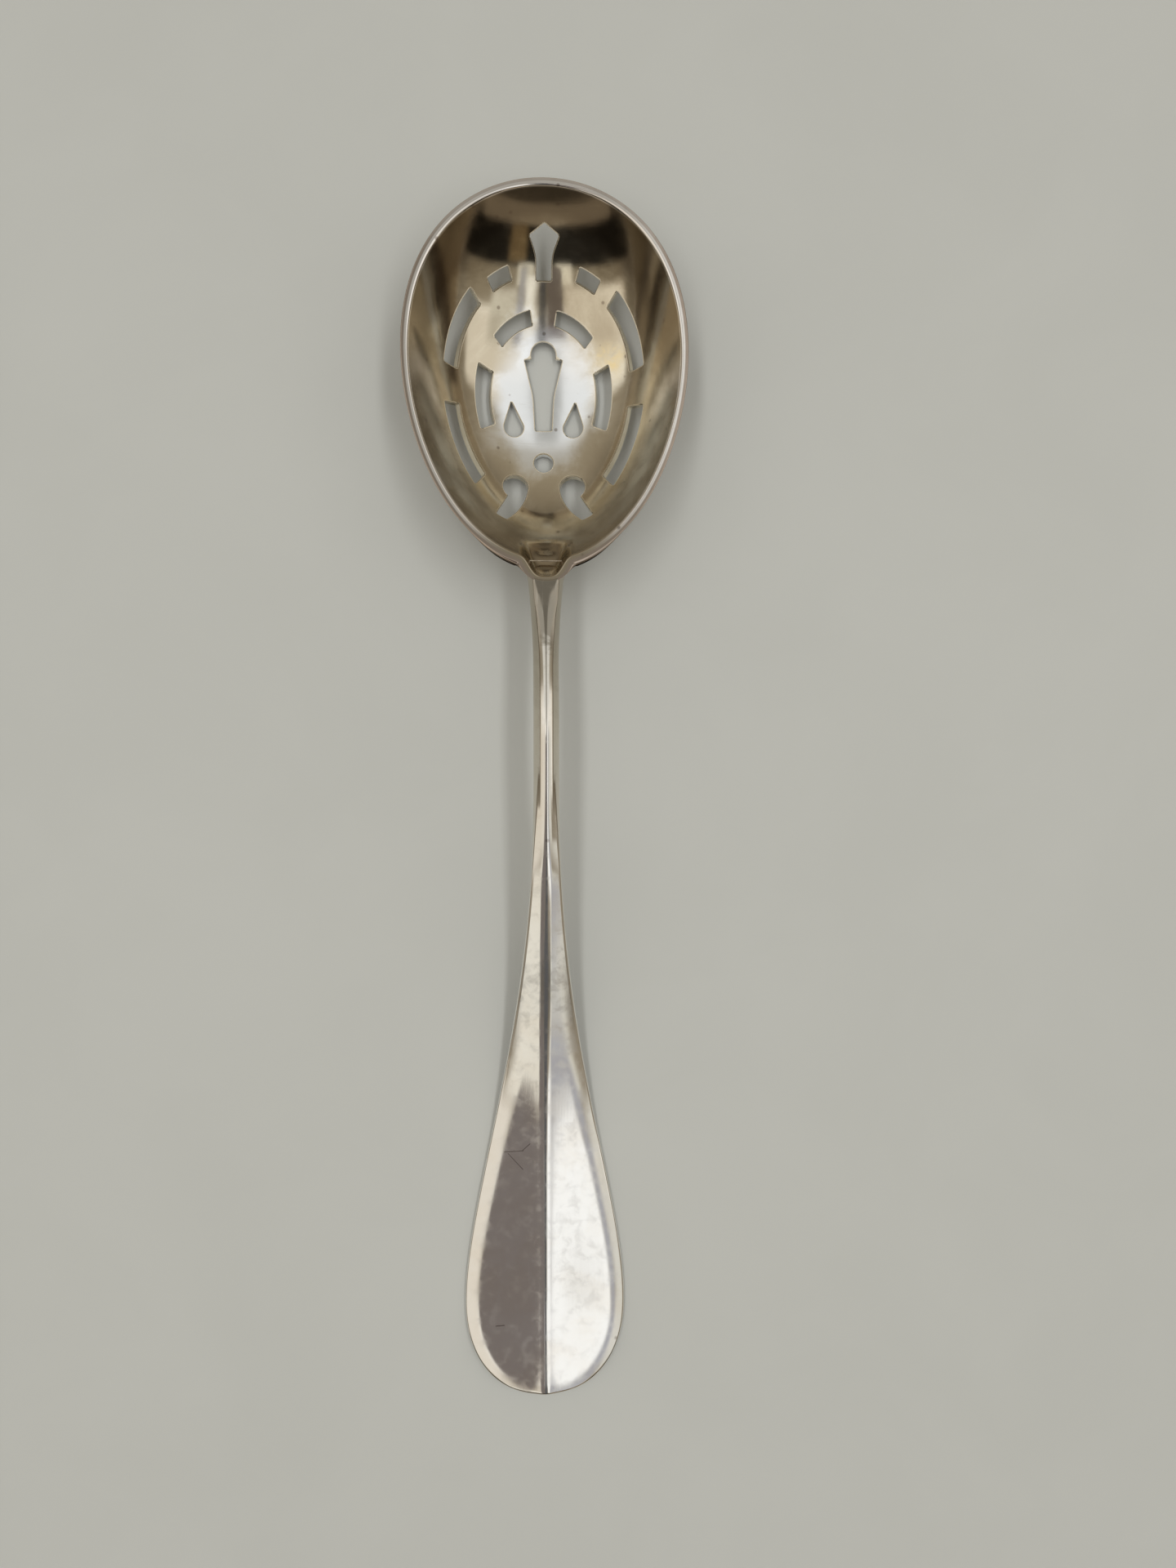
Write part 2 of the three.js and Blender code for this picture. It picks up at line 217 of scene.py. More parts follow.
def evenLoop(points, step, fewest=8):
    closed = np.vstack([points, points[:1]])
    length = runLengths(np.linalg.norm(np.diff(closed, axis=0), axis=1))
    count = max(fewest, int(round(length[-1] / step)))
    at = np.arange(count) * length[-1] / count
    return np.stack([np.interp(at, length, closed[:, 0]), np.interp(at, length, closed[:, 1])], -1)


# rounds each sharp corner of an outline and spaces its points evenly
def softLoop(points, radius, step, count=5):
    points = np.asarray(points, float)
    soft = []
    for i, corner in enumerate(points):
        before, after = points[i - 1] - corner, points[(i + 1) % len(points)] - corner
        shorter = min(np.linalg.norm(before), np.linalg.norm(after))
        reach = min(radius, bowl["cornerMost"] * shorter)
        first, last = corner + unit(before) * reach, corner + unit(after) * reach
        soft += [rounded(first, corner, last, t) for t in np.linspace(0, 1, count)]
    return evenLoop(np.array(soft), step)


# a smooth run through a few points
def through(points, count=10):
    points = np.asarray(points, float)
    padded = np.vstack([2 * points[0] - points[1], points, 2 * points[-1] - points[-2]])
    run = []
    for a, b, c, d in zip(padded, padded[1:], padded[2:], padded[3:]):
        for t in np.linspace(0, 1, count, endpoint=False):
            bend = (2 * a - 5 * b + 4 * c - d) * t * t + (3 * b - a - 3 * c + d) * t ** 3
            run.append(0.5 * (2 * b + (c - a) * t + bend))
    run.append(points[-1])
    return np.array(run)


def arc(centre, radius, start, end, count):
    turn = np.radians(np.linspace(start, end, count))
    return np.stack([centre[0] + radius * np.cos(turn), centre[1] + radius * np.sin(turn)], -1)


# The piercings: rings as inner and outer share of the way to the rim, start and end in degrees;
# the middle motif in mm, its sides as widths at heights above the foot
piercing = {
    "rings": [
        (0.67, 0.76, 11.2, 47.2),
        (0.66, 0.767, -43.9, -5.7),
        (0.668, 0.735, 57.5, 70.3),
        (0.428, 0.506, 43.5, 78.7),
        (0.415, 0.53, -20.2, 21.3),
    ],
    "ringPoints": 24,
    "topSlot": {"foot": 18.9, "height": 6.9, "sides": [(2.5, 0), (2.7, 3.1), (4.8, 5.5)]},
    "keyhole": {
        "foot": -4.95, "height": 14.85, "sides": [(2.8, 0), (3.4, 5.4), (4.4, 7.9), (6.4, 11.9)],
        "head": 4.2, "headTurn": -20, "points": 24,
    },
    "teardrop": {
        "offset": 5.05, "bottom": -6.2, "height": 6.1, "radius": 1.65, "lean": 0.4,
        "turn": (166, 374), "points": 20,
    },
    "dot": {"centre": -10.7, "radius": 1.65, "points": 24},
    "hook": {
        "offset": 4.75, "centre": -15.2, "radius": 2.1, "reach": 6.4, "spread": 3.15,
        "tail": 1.7, "tailRise": 0.9, "tailPoints": 14, "belly": 1.7, "bellyDrop": 3.7,
        "turn": (-54, 184), "points": 28,
    },
}


def mirrored(points):
    return np.asarray(points)[::-1] * [-1, 1]


def ringOutline(inner, outer, start, end):
    turn = np.radians(np.linspace(start, end, piercing["ringPoints"]))
    return np.vstack([ringPoint(outer, turn), ringPoint(inner, turn)[::-1]])


def slotSide(slot):
    return through([(width / 2, slot["foot"] + up) for width, up in slot["sides"]])


def topSlotOutline(slot):
    side = slotSide(slot)
    return np.vstack([side, [(0, slot["foot"] + slot["height"])], mirrored(side)])


def keyholeOutline(key):
    side, radius = slotSide(key), key["head"] / 2
    middle = key["foot"] + key["height"] - radius
    head = arc((0, middle), radius, key["headTurn"], 180 - key["headTurn"], key["points"])
    return np.vstack([side, head, mirrored(side)])


def teardropOutline(drop):
    centre = (drop["offset"], drop["bottom"] + drop["radius"])
    belly = arc(centre, drop["radius"], *drop["turn"], drop["points"])
    return np.vstack([belly, [(drop["offset"] + drop["lean"], drop["bottom"] + drop["height"])]])


def hookOutline(hook):
    eye = arc((hook["offset"], hook["centre"]), hook["radius"], *hook["turn"], hook["points"])
    tail = np.array([hook["offset"] + hook["spread"], hook["centre"] - hook["reach"]])
    belly = np.array([hook["offset"] - hook["belly"], hook["centre"] - hook["bellyDrop"]])
    heel = tail - [hook["tail"], 0]
    t = np.linspace(0, 1, hook["tailPoints"])[1:, None]
    sweep = rounded(eye[-1], belly, heel, t)
    return np.vstack([eye, sweep, [tail + [0, hook["tailRise"]]]])


def pierceLoops():
    dot = piercing["dot"]
    roundHole = arc((0, dot["centre"]), dot["radius"], 0, 360 - 360 / dot["points"], dot["points"])
    middle = [topSlotOutline(piercing["topSlot"]), keyholeOutline(piercing["keyhole"]), roundHole]
    right = [ringOutline(*ring) for ring in piercing["rings"]]
    right += [teardropOutline(piercing["teardrop"]), hookOutline(piercing["hook"])]
    outlines = middle + right + [mirrored(outline) for outline in right]
    return [softLoop(outline, bowl["holeCorner"], bowl["holeStep"]) for outline in outlines]


# true for the points that lie in a closed outline
def isInside(points, loop):
    x, y = points[:, 0:1], points[:, 1:2]
    x1, y1 = loop[:, 0], loop[:, 1]
    x2, y2 = np.roll(x1, -1), np.roll(y1, -1)
    rise = np.where(y2 == y1, 1e-12, y2 - y1)
    crossed = ((y1 > y) != (y2 > y)) & (x < (x2 - x1) * (y - y1) / rise + x1)
    return crossed.sum(1) % 2 == 1


# 1 for a loop that runs anticlockwise, -1 for the other way
def turnSign(loop):
    x, y = loop[:, 0], loop[:, 1]
    return np.sign(np.sum(x * np.roll(y, -1) - np.roll(x, -1) * y))


# outline grown outward, away from the hole
def grown(loop, by):
    along = np.roll(loop, -1, 0) - np.roll(loop, 1, 0)
    aside = unit(np.stack([along[:, 1], -along[:, 0]], -1))
    return loop + aside * by * turnSign(loop)


# angles that space points evenly along the rim
def rimTurns(count=6000):
    dense = np.linspace(0, 2 * np.pi, count, endpoint=False)
    outline = ringPoint(1, dense)
    length = runLengths(np.linalg.norm(np.roll(outline, -1, 0) - outline, axis=1))
    count = int(length[-1] / bowl["rimStep"])
    return np.interp(np.arange(count) * length[-1] / count, length, np.append(dense, 2 * np.pi))


# plan points in rings, evenly spaced along the pressed wall
def plateGrid(limit, dense=2000, fewest=6):
    share = np.linspace(0, limit, dense)
    climb = 2 * share * (1 - bowl["steepness"]) + 4 * bowl["steepness"] * share ** 3
    climb = bowl["depth"] * climb
    length = runLengths(np.hypot(halfWidth, climb)[1:] * np.diff(share))
    rings = int(length[-1] / bowl["gridStep"])
    points = [np.zeros((1, 2))]
    for i in range(1, rings):
        at = np.interp(i * length[-1] / rings, length, share)
        count = max(fewest, int(2 * np.pi * at * (halfWidth + halfLength) / 2 / bowl["gridStep"]))
        turn = 2 * np.pi * (np.arange(count) + 0.5 * (i % 2)) / count
        points.append(ringPoint(at, turn))
    return np.vstack(points)


def bowlShell():
    holes = pierceLoops()
    turns = rimTurns()
    rimIn = ringPoint(1, turns)
    climb = bowl["depth"] * (2 + 2 * bowl["steepness"])
    limit = 1 - bowl["rimRoundReach"] * bowl["rimRoundIn"] / math.hypot(climb, halfWidth)
    border = ringPoint(limit, turns)
    wide = [grown(loop, bowl["holeEdge"]) for loop in holes]
    grid = plateGrid(limit)
    keep = np.ones(len(grid), bool)
    for loop in wide:
        apart = gapTo(grid, loop) > bowl["holeClear"] * bowl["gridStep"]
        keep &= ~isInside(grid, loop) & apart
    keep &= gapTo(grid, border) > bowl["rimClear"]
    loops = [border] + wide
    plan = np.vstack(loops + [grid[keep]])
    ends = np.cumsum([len(loop) for loop in loops])
    spans = np.split(np.arange(ends[-1]), ends[:-1])
    edges = [edge for ids in spans for edge in zip(ids.tolist(), np.roll(ids, -1).tolist())]
    made = delaunay_2d_cdt([Vector(p) for p in plan], edges, [], 1, bowl["weld"])
    plan = np.array([tuple(v) for v in made[0]])
    place = {i: new for new, old in enumerate(made[3]) for i in old}
    triangles = np.array(made[2])
    centres = plan[triangles].mean(1)
    solid = np.ones(len(triangles), bool)
    for loop in wide:
        solid &= ~isInside(centres, loop)
    triangles = triangles[solid]
    spans = [np.array([place[i] for i in ids]) for ids in spans]
    count = len(plan)
    places = [press(plan, 0), press(plan, 1)]
    normals = [insideNormal(plan), backNormal(plan)]
    faces = [tuple(t) for t in triangles] + [tuple(t[::-1] + count) for t in triangles]
    total = 2 * count

    # joins two loops of the same length by a band of quads
    def band(upper, lower):
        for a, b, c, d in zip(upper, np.roll(upper, -1), np.roll(lower, -1), lower):
            faces.append((int(a), int(d), int(c), int(b)))

    share = bowl["holeEdge"] / bowl["sheet"]
    cut = []
    for loop, ids in zip(holes, spans[1:]):
        size = len(loop)
        upper, lower = press(loop, 0), press(loop, 1)
        along = np.roll(upper, -1, 0) - np.roll(upper, 1, 0)
        facing = unit(np.cross(along, lower - upper)) * -turnSign(loop)
        rows = [ids]
        for depth in (share, 1 - share):
            places.append(press(loop, depth))
            normals.append(facing)
            rows.append(np.arange(total, total + size))
            total += size
        rows.append(ids + count)
        cut += [rows[0], rows[1]]
        for first, second in zip(rows, rows[1:]):
            band(first, second)

    # the rim: inner round, flat top, outer round, then down the outside
    inner, outer = press(rimIn, 0), press(rimIn, 1)
    downIn, downOut = unit(press(border, 0) - inner), unit(press(border, 1) - outer)
    across = unit(outer - inner)
    atHeel = smooth(-bowl["heelFrom"], -1, np.sin(turns))
    atJoint = smooth(bowl["jointFade"], bowl["jointHalf"], np.abs(rimIn[:, 0])) * (rimIn[:, 1] < 0)
    roundOut = mix(bowl["rimRoundOut"], bowl["heelRoundOut"], atHeel)
    roundOut = mix(roundOut, bowl["jointRound"], atJoint)[:, None]
    roundIn = bowl["rimRoundIn"]
    upward = np.tile([0.0, 0.0, 1.0], (len(turns), 1))
    inFacing, outFacing = insideNormal(border), backNormal(border)
    innerRound = inner + downIn * roundIn * bowl["rimInReach"], inner, inner + across * roundIn
    outerRound = outer - across * roundOut, outer, outer + downOut * roundOut
    ring = [spans[0]]
    for bent, facings, steps in (
        (innerRound, (inFacing, upward), bowl["rimInRows"]),
        (outerRound, (upward, outFacing), bowl["rimOutRows"]),
    ):
        outside = len(ring)
        for t in np.linspace(*steps):
            places.append(rounded(*bent, t))
            normals.append(unit(mix(*facings, t)))
            ring.append(np.arange(total, total + len(turns)))
            total += len(turns)
            band(ring[-1], ring[-2])
    band(spans[0] + count, ring[-1])
    # the upper edge rows of the piercings are marked for a painted glint
    marks = {"cutEdgeGlint": np.zeros(total), "outerRim": np.zeros(total)}
    marks["cutEdgeGlint"][np.concatenate(cut)] = 1
    marks["outerRim"][np.concatenate(ring[outside:])] = 1
    return np.vstack(places), np.vstack(normals), faces, marks


bowlPlaces, bowlNormals, bowlFaces, bowlMarks = bowlShell()
print("bowl shell:", len(bowlPlaces), "points,", len(bowlFaces), "faces")
bowlPiece = newPiece(
    "piercedBowl", bowlPlaces, bowlFaces, bowlNormals, "pierced_bowl", bowlMarks
)


# The handle: flat at the neck, a ridged stem, and a broad end with rolled edges
handle = {
    "neckWidth": 5.6, "neckLength": 14.0, "neckThickness": 4.0, "neckLift": 0.015,
    "neckCurve": 2.0, "neckEdge": 1.0, "neckCrest": 3.6, "neckCrestLength": 4.0,
    "keelNarrowing": 0.4,
    "rootFlare": 0.5, "rootFlareFrom": -2.5, "rootFlareLength": 0.7, "rootLimit": -3.4,
    "rootWalk": (2.0, -8.0, 220), "rootRun": 2.0, "rootRings": 9,
    "stemWidth": 4.1, "stemThickness": 3.4, "stemRound": 0.7, "stemCrest": 0.7, "stemBulge": 0.3,
    "stemSoft": 0.1, "stemDrop": 1.5, "stemStep": 0.8,
    "crestWidth": 1.25, "crestSwell": 0.6, "crestSwellAt": 66.0, "crestSwellLength": 22.0,
    "crestBulge": 0.03, "crestMost": 0.72,
    "endSoft": 0.4, "endWidth": 27.4, "endRound": 15.5, "endFullness": 2.3, "endThickness": 2.1,
    "endDrop": 0.8, "endHollow": 1.15, "endBlend": 1.0,
    "flareSlope": 0.14, "flareSpan": (26.0, 50.0), "flareStart": 33.4, "flareLag": 0.467,
    "flareLead": 0.807,
    "ridgeFillet": 0.11, "ridgeFilletWidth": 1.1,
    "edgeRound": 0.45, "edgeRoll": 0.35, "edgeRollWidth": 3.2, "edgeSearch": 4.0,
    "archAt": 22.0, "archRise": 2.6,
    "restFromTip": 18.0, "restLength": 22.0,
    "tipLift": 2.4, "tipFade": 0.4, "tipRings": 46, "tipGap": 0.002,
    "overlap": 0.35,
    "roundMost": 0.45,
    "curvePoints": 2000,
    "outlinePoints": (500, 400), "outlineBack": 2.0,
    "belowRim": 0.07,
    "capRows": 6, "capReach": 6.0,
}
handleLength = lipY - handleBox[0].y / mm
widestAt = handleLength - handle["endRound"]
restStart = handleLength - handle["restFromTip"] - handle["restLength"]


# half the width at each distance from the lip
def halfAt(s):
    shoulder = (handle["neckWidth"] - handle["stemWidth"]) / 2
    near = np.clip(s, handle["rootLimit"], None)
    taper = np.clip(1 - near / handle["neckLength"], 0, None) ** handle["neckCurve"]
    fade = np.exp((handle["rootFlareFrom"] - near) / handle["rootFlareLength"])
    stem = handle["stemWidth"] / 2 + shoulder * taper + handle["rootFlare"] * fade
    t = np.linspace(0, 1, handle["curvePoints"])
    first, last = handle["flareStart"], widestAt
    lag, lead = mix(first, last, handle["flareLag"]), mix(first, last, handle["flareLead"])
    at = (1 - t) ** 3 * first + 3 * (1 - t) ** 2 * t * lag
    at = at + 3 * (1 - t) * t * t * lead + t ** 3 * last
    wide = mix(handle["stemWidth"] / 2, handle["endWidth"] / 2, 3 * (1 - t) * t * t + t ** 3)
    flare = np.interp(s, at, wide)
    reach = np.clip((s - widestAt) / handle["endRound"], 0, 1)
    full = handle["endFullness"]
    end = handle["endWidth"] / 2 * (1 - reach ** full) ** (1 / full)
    return np.where(s < first, stem, np.where(s < widestAt, flare, end))


def underAt(s):
    arch = rimZ + handle["archRise"] - handle["stemThickness"]
    root = rimZ - handle["neckThickness"] + handle["neckLift"]
    rising = mix(root, arch, smooth(0, handle["archAt"], s))
    falling = mix(arch, 0, smooth(handle["archAt"], restStart, s))
    beyond = np.clip((s - handleLength + handle["restFromTip"]) / handle["restFromTip"], 0, None)
    lifted = handle["tipLift"] * beyond ** 2
    return np.where(s < handle["archAt"], rising, np.where(s < restStart, falling, lifted))


outlineFrom = handle["rootLimit"] - handle["outlineBack"]
outlineS = np.concatenate([
    np.linspace(outlineFrom, widestAt, handle["outlinePoints"][0], endpoint=False),
    mix(widestAt, handleLength, np.sin(np.linspace(0, np.pi / 2, handle["outlinePoints"][1]))),
])
outlineX = halfAt(outlineS)


# distance in plan from points of the handle to its outline, to the runs between outline points
def edgeDistance(x, s):
    gap = []
    for rowX, at in zip(np.abs(x), s[:, 0]):
        near = np.flatnonzero(np.abs(outlineS[:-1] - at) < handle["edgeSearch"])
        runX, runS = outlineX[near + 1] - outlineX[near], outlineS[near + 1] - outlineS[near]
        awayX, awayS = rowX[:, None] - outlineX[near], at - outlineS[near]
        share = np.clip((awayX * runX + awayS * runS) / (runX ** 2 + runS ** 2), 0, 1)
        gap.append(np.hypot(awayX - share * runX, awayS - share * runS).min(1))
    return np.array(gap)


# the lines of a section lie close together at the edge and by the rib
edgeTurns = np.radians(np.linspace(0, 90, 9))
facetShares = np.concatenate([np.linspace(1, 0.55, 14), np.linspace(0.5, 0.06, 9), [0.03, 0]])
ribShares = np.linspace(1, 0, 7)[1:]
softSteps = np.linspace(-1, 1, 7)


# x and z of the section lines at each distance: over the top from the right, then back underneath
def sections(s):
    s = s[:, None]
    half = halfAt(s)
    flat = smooth(handle["flareStart"], widestAt, s)
    neck = 1 - smooth(0, handle["neckLength"], s)
    under = underAt(s)
    full = mix(handle["stemThickness"], handle["endThickness"], flat)
    full = mix(full, handle["neckThickness"], neck)
    tip = np.where(s < widestAt, 1, (2 * half / handle["endWidth"]) ** handle["tipFade"])
    swell = np.exp(-(((s - handle["crestSwellAt"]) / handle["crestSwellLength"]) ** 2))
    widen = np.exp(-np.clip(s, 0, None) / handle["neckCrestLength"])
    flaring = smooth(*handle["flareSpan"], s)
    crest = handle["crestWidth"] + handle["crestSwell"] * swell
    crest = crest + handle["stemCrest"] * (1 - flaring) + handle["neckCrest"] * widen
    crest = np.minimum(crest / 2, handle["crestMost"] * half)
    bulge = mix(handle["stemBulge"], handle["crestBulge"], flaring) * (1 - widen) * tip
    gentle = handle["crestBulge"] + handle["flareSlope"] * (half - crest)
    ending = smooth(widestAt - handle["endBlend"], widestAt, s)
    gentle = mix(np.minimum(gentle, handle["endDrop"]), handle["endDrop"], ending)
    drop = mix(handle["stemDrop"], gentle, flaring)
    edge = full - mix(drop, handle["neckEdge"], neck)
    ridge = mix(edge, full, tip)
    roundBy = mix(handle["stemRound"], handle["edgeRound"], flaring)
    roundBy = np.minimum(roundBy, handle["roundMost"] * half)
    outer = half - roundBy * (1 - np.cos(edgeTurns))
    inner = crest + facetShares * (half - roundBy - crest)
    right = np.hstack([outer[:, :-1], inner, crest * ribShares])
    x = np.hstack([right, -right[:, -2::-1]])

    fillets = handle["ridgeFillet"] * flat ** 3 * tip

    # facets and rib above the edge; the corner between them is softened by averaging across it
    def rise(across):
        past = np.clip(np.abs(across) - crest, 0, None)
        left = 1 - np.clip(past / (half - crest), 0, 1)
        slope = (ridge - bulge - fillets - edge) * left ** mix(1, handle["endHollow"], flat)
        fillet = fillets * np.exp(-past / handle["ridgeFilletWidth"])
        return slope + fillet + bulge * np.clip(1 - (across / crest) ** 2, 0, 1)

    soft = mix(handle["stemSoft"], handle["endSoft"], flat) * tip
    crown = sum(rise(x + soft * step) for step in softSteps) / len(softSteps)
    gap = edgeDistance(x, np.broadcast_to(s, x.shape))
    roll = handle["edgeRoll"] * flat * np.clip(1 - gap / handle["edgeRollWidth"], 0, None) ** 2
    inEdge = np.clip(1 - gap / roundBy, 0, 1)
    top = under + edge + crown - roll - roundBy * (1 - np.sqrt(1 - inEdge ** 2))
    lowRound = np.minimum(roundBy, handle["roundMost"] * edge)
    inEdge = np.clip(1 - gap / lowRound, 0, 1)
    bottom = under + lowRound * (1 - np.sqrt(1 - inEdge ** 2))
    keel = x * (1 - handle["keelNarrowing"] * smooth(1, handle["rootFlareFrom"], s))
    return np.hstack([x, keel[:, ::-1]]), np.hstack([top, bottom[:, ::-1]])


# where each line of the loft meets the outside of the bowl, found by walking along the line
def rootDistances(tree):
    walk = np.linspace(*handle["rootWalk"])
    x, z = sections(walk)
    z = np.minimum(z, rimZ - handle["belowRim"])
    root = np.full(x.shape[1], handle["rootLimit"])
    for j in range(x.shape[1]):
        line = np.stack([x[:, j], lipY - walk, z[:, j]], -1)
        for k, (here, there) in enumerate(zip(line, line[1:])):
            step = there - here
            size = np.linalg.norm(step)
            gone = tree.ray_cast(Vector(here), Vector(step / size), size)[3]
            if gone is not None:
                root[j] = mix(walk[k], walk[k + 1], gone / size)
                break
    return root


def loftRing(distance):
    x, z = sections(distance)
    lines = np.arange(len(distance))
    return np.stack([x[lines, lines], lipY - distance, z[lines, lines]], -1)


def handleRings(root):
    bodyStart = root.max() + handle["rootRun"]
    steps = np.linspace(0, 1, handle["rootRings"], endpoint=False)
    rings = [loftRing(root - handle["overlap"])]
    rings += [loftRing(mix(root, bodyStart, t)) for t in steps]
    around = np.sin(np.linspace(0, np.pi / 2, handle["tipRings"]))
    body = np.arange(bodyStart, widestAt, handle["stemStep"])
    distance = np.concatenate([body, mix(widestAt, handleLength - handle["tipGap"], around)])
    x, z = sections(distance)
    for i, s in enumerate(distance):
        rings.append(np.stack([x[i], np.full(len(root), lipY - s), z[i]], -1))
    return np.array(rings)


# closes an end of the loft: rows of points from each top line down to the bottom line under it
def endCap(ring, rows, tree=None):
    half = len(ring) // 2
    upper, lower = ring[:half], ring[half:][::-1]
    grid = [mix(upper, lower, t) for t in np.linspace(0, 1, rows + 2)[1:-1]]
    if tree is not None:
        for row in grid:
            for point in row:
                top = min(point[2], rimZ - handle["belowRim"])
                start = Vector((point[0], lipY - handle["capReach"], top))
                hit = tree.ray_cast(start, Vector((0, 1, 0)), 2 * handle["capReach"])[0]
                if hit is not None:
                    point[1] = hit.y + handle["overlap"]
    return np.array(grid)


# quads of an end cap; the ring starts at one number and the rows between at another
def capFaces(ringStart, count, gridStart, rows):
    half = count // 2
    lines = [[ringStart + j for j in range(half)]]
    lines += [[gridStart + i * half + j for j in range(half)] for i in range(rows)]
    lines.append([ringStart + count - 1 - j for j in range(half)])
    return [(a, d, c, b) for a, b, c, d in quads(lines)]


# quads between rings of the same length, the last column joined to the first
def ringFaces(rings, count, first=0):
    starts = [first + i * count for i in range(rings)]
    return quads([[start + j % count for j in range(count + 1)] for start in starts])


# The heel tongue: the end of the handle, hammered thin over the back of the bowl
tongue = {
    "start": -30.2,
    "end": -24.2,
    "width": 7.0,
    "startWidth": 3.2,
    "widestAt": 0.5,
    "thickness": 1.2,
    "feather": 1.8,
    "sunk": 0.2,
    "roundMost": 0.999,
    "rows": 36,
    "columns": 25,
}


# plan of the tongue as a grid: a leaf that widens from the neck and ends round
def tonguePlan():
    t = np.sin(np.linspace(0, np.pi / 2, tongue["rows"]))
    widening = smooth(0, tongue["widestAt"], t)
    turn = np.clip((t - tongue["widestAt"]) / (1 - tongue["widestAt"]), 0, tongue["roundMost"])
    half = mix(tongue["startWidth"], tongue["width"], widening) / 2 * np.sqrt(1 - turn ** 2)
    x = np.linspace(-1, 1, tongue["columns"]) * half[:, None]
    y = np.broadcast_to(mix(tongue["start"], tongue["end"], t)[:, None], x.shape)
    return np.stack([x, y], -1)


def tongueShell(first):
    plan = tonguePlan()
    rows, columns = plan.shape[:2]
    border = np.vstack([plan[:, 0], plan[-1], plan[::-1, -1]])
    flat = plan.reshape(-1, 2)
    rise = 1 - np.clip(1 - gapTo(flat, border) / tongue["feather"], 0, 1) ** 2
    back, facing = press(flat, 1), backNormal(flat)
    outer = back + facing * (tongue["thickness"] * np.sqrt(rise))[:, None]
    inner = back - facing * tongue["sunk"]
    size = rows * columns
    grid = first + np.arange(size).reshape(rows, columns)
    faces = []
    for quad in quads(grid.tolist()):
        faces += [quad, tuple(size + k for k in reversed(quad))]
    edge = np.concatenate([grid[:, 0], grid[-1, 1:], grid[-2::-1, -1], grid[0, -2:0:-1]])
    for a, b in zip(edge.tolist(), np.roll(edge, -1).tolist()):
        faces.append((a, a + size, b + size, b))
    return np.vstack([outer, inner]), faces, border


bowlTree = BVHTree.FromPolygons([Vector(p) for p in bowlPlaces], bowlFaces)
rootLine = rootDistances(bowlTree)
rings = handleRings(rootLine)
lineCount, capRows = len(rootLine), handle["capRows"]
rootCap, tipCap = endCap(rings[0], capRows, bowlTree), endCap(rings[-1], 1)
stemPlaces = np.vstack([rings.reshape(-1, 3), rootCap.reshape(-1, 3), tipCap.reshape(-1, 3)])
ringPoints = len(rings) * lineCount
stemFaces = ringFaces(len(rings), lineCount)
stemFaces += capFaces(0, lineCount, ringPoints, capRows)
tipFaces = capFaces(ringPoints - lineCount, lineCount, ringPoints + capRows * lineCount // 2, 1)
stemFaces += [face[::-1] for face in tipFaces]
tonguePlaces, tongueFaces, tongueBorder = tongueShell(len(stemPlaces))
handlePlaces = np.vstack([stemPlaces, tonguePlaces])
handleFaces = stemFaces + tongueFaces
handlePiece = newPiece("handle", handlePlaces, handleFaces, None, "handle")
print("handle:", len(handlePlaces), "points,", len(handleFaces), "faces")

# The solder seam: a hairline bead under the joint and along the border of the tongue
solder = {"bead": 0.1, "sides": 8, "below": 1.5, "skew": (0.31, 0.2, 0.93)}


def beadRings(path):
    ahead, behind = np.roll(path, -1, 0), np.roll(path, 1, 0)
    ahead[-1], behind[0] = path[-1], path[0]
    along = unit(ahead - behind)
    side = unit(np.cross(along, solder["skew"]))
    lift = np.cross(side, along)
    turns = np.linspace(0, 2 * np.pi, solder["sides"], endpoint=False)
    around = [side * np.cos(t) + lift * np.sin(t) for t in turns]
    return np.stack([path + solder["bead"] * away for away in around], 1)


def beadShell(path, first):
    sides = solder["sides"]
    bead = beadRings(path)
    last = first + (len(bead) - 1) * sides
    faces = ringFaces(len(bead), sides, first)
    faces.append(tuple(first + j for j in range(sides)))
    faces.append(tuple(last + j for j in reversed(range(sides))))
    return bead.reshape(-1, 3), faces


underRoot = rings[1][rings[1][:, 2] < rimZ - solder["below"]]
underTongue = press(tongueBorder, 1)
rootBead, rootFaces = beadShell(underRoot, 0)
borderBead, borderFaces = beadShell(underTongue, len(rootBead))
solderPlaces = np.vstack([rootBead, borderBead])
solderFaces = rootFaces + borderFaces
solderPiece = newPiece("solderSeam", solderPlaces, solderFaces, None, "solder_seam")
print("solder bead:", len(solderPlaces), "points")


# Small helpers to lay out shader nodes
def feed(tree, node, feeds):
    for key, value in feeds.items():
        if isinstance(value, bpy.types.NodeSocket):
            tree.links.new(value, node.inputs[key])
        else:
            node.inputs[key].default_value = value


def add(tree, kind, feeds=None, **settings):
    node = tree.nodes.new(kind)
    for key, value in settings.items():
        setattr(node, key, value)
    feed(tree, node, feeds or {})
    return node


def paint(colour):
    return colour if isinstance(colour, bpy.types.NodeSocket) else (*colour, 1)


def blend(tree, share, first, second):
    feeds = {0: share, 6: paint(first), 7: paint(second)}
    return add(tree, "ShaderNodeMix", feeds, data_type="RGBA").outputs[2]


def calc(tree, operation, first, second=0.0):
    return add(tree, "ShaderNodeMath", {0: first, 1: second}, operation=operation).outputs[0]


def vector(tree, operation, first, second):
    return add(tree, "ShaderNodeVectorMath", {0: first, 1: second}, operation=operation).outputs[0]


def measure(tree, operation, first, second=(0, 0, 0)):
    return add(tree, "ShaderNodeVectorMath", {0: first, 1: second}, operation=operation).outputs[1]


def ramp(tree, value, start, end, low=0.0, high=1.0):
    feeds = {"Value": value, "From Min": start, "From Max": end, "To Min": low, "To Max": high}
    return add(tree, "ShaderNodeMapRange", feeds, interpolation_type="SMOOTHSTEP").outputs["Result"]


def times(tree, first, second):
    return calc(tree, "MULTIPLY", first, second)


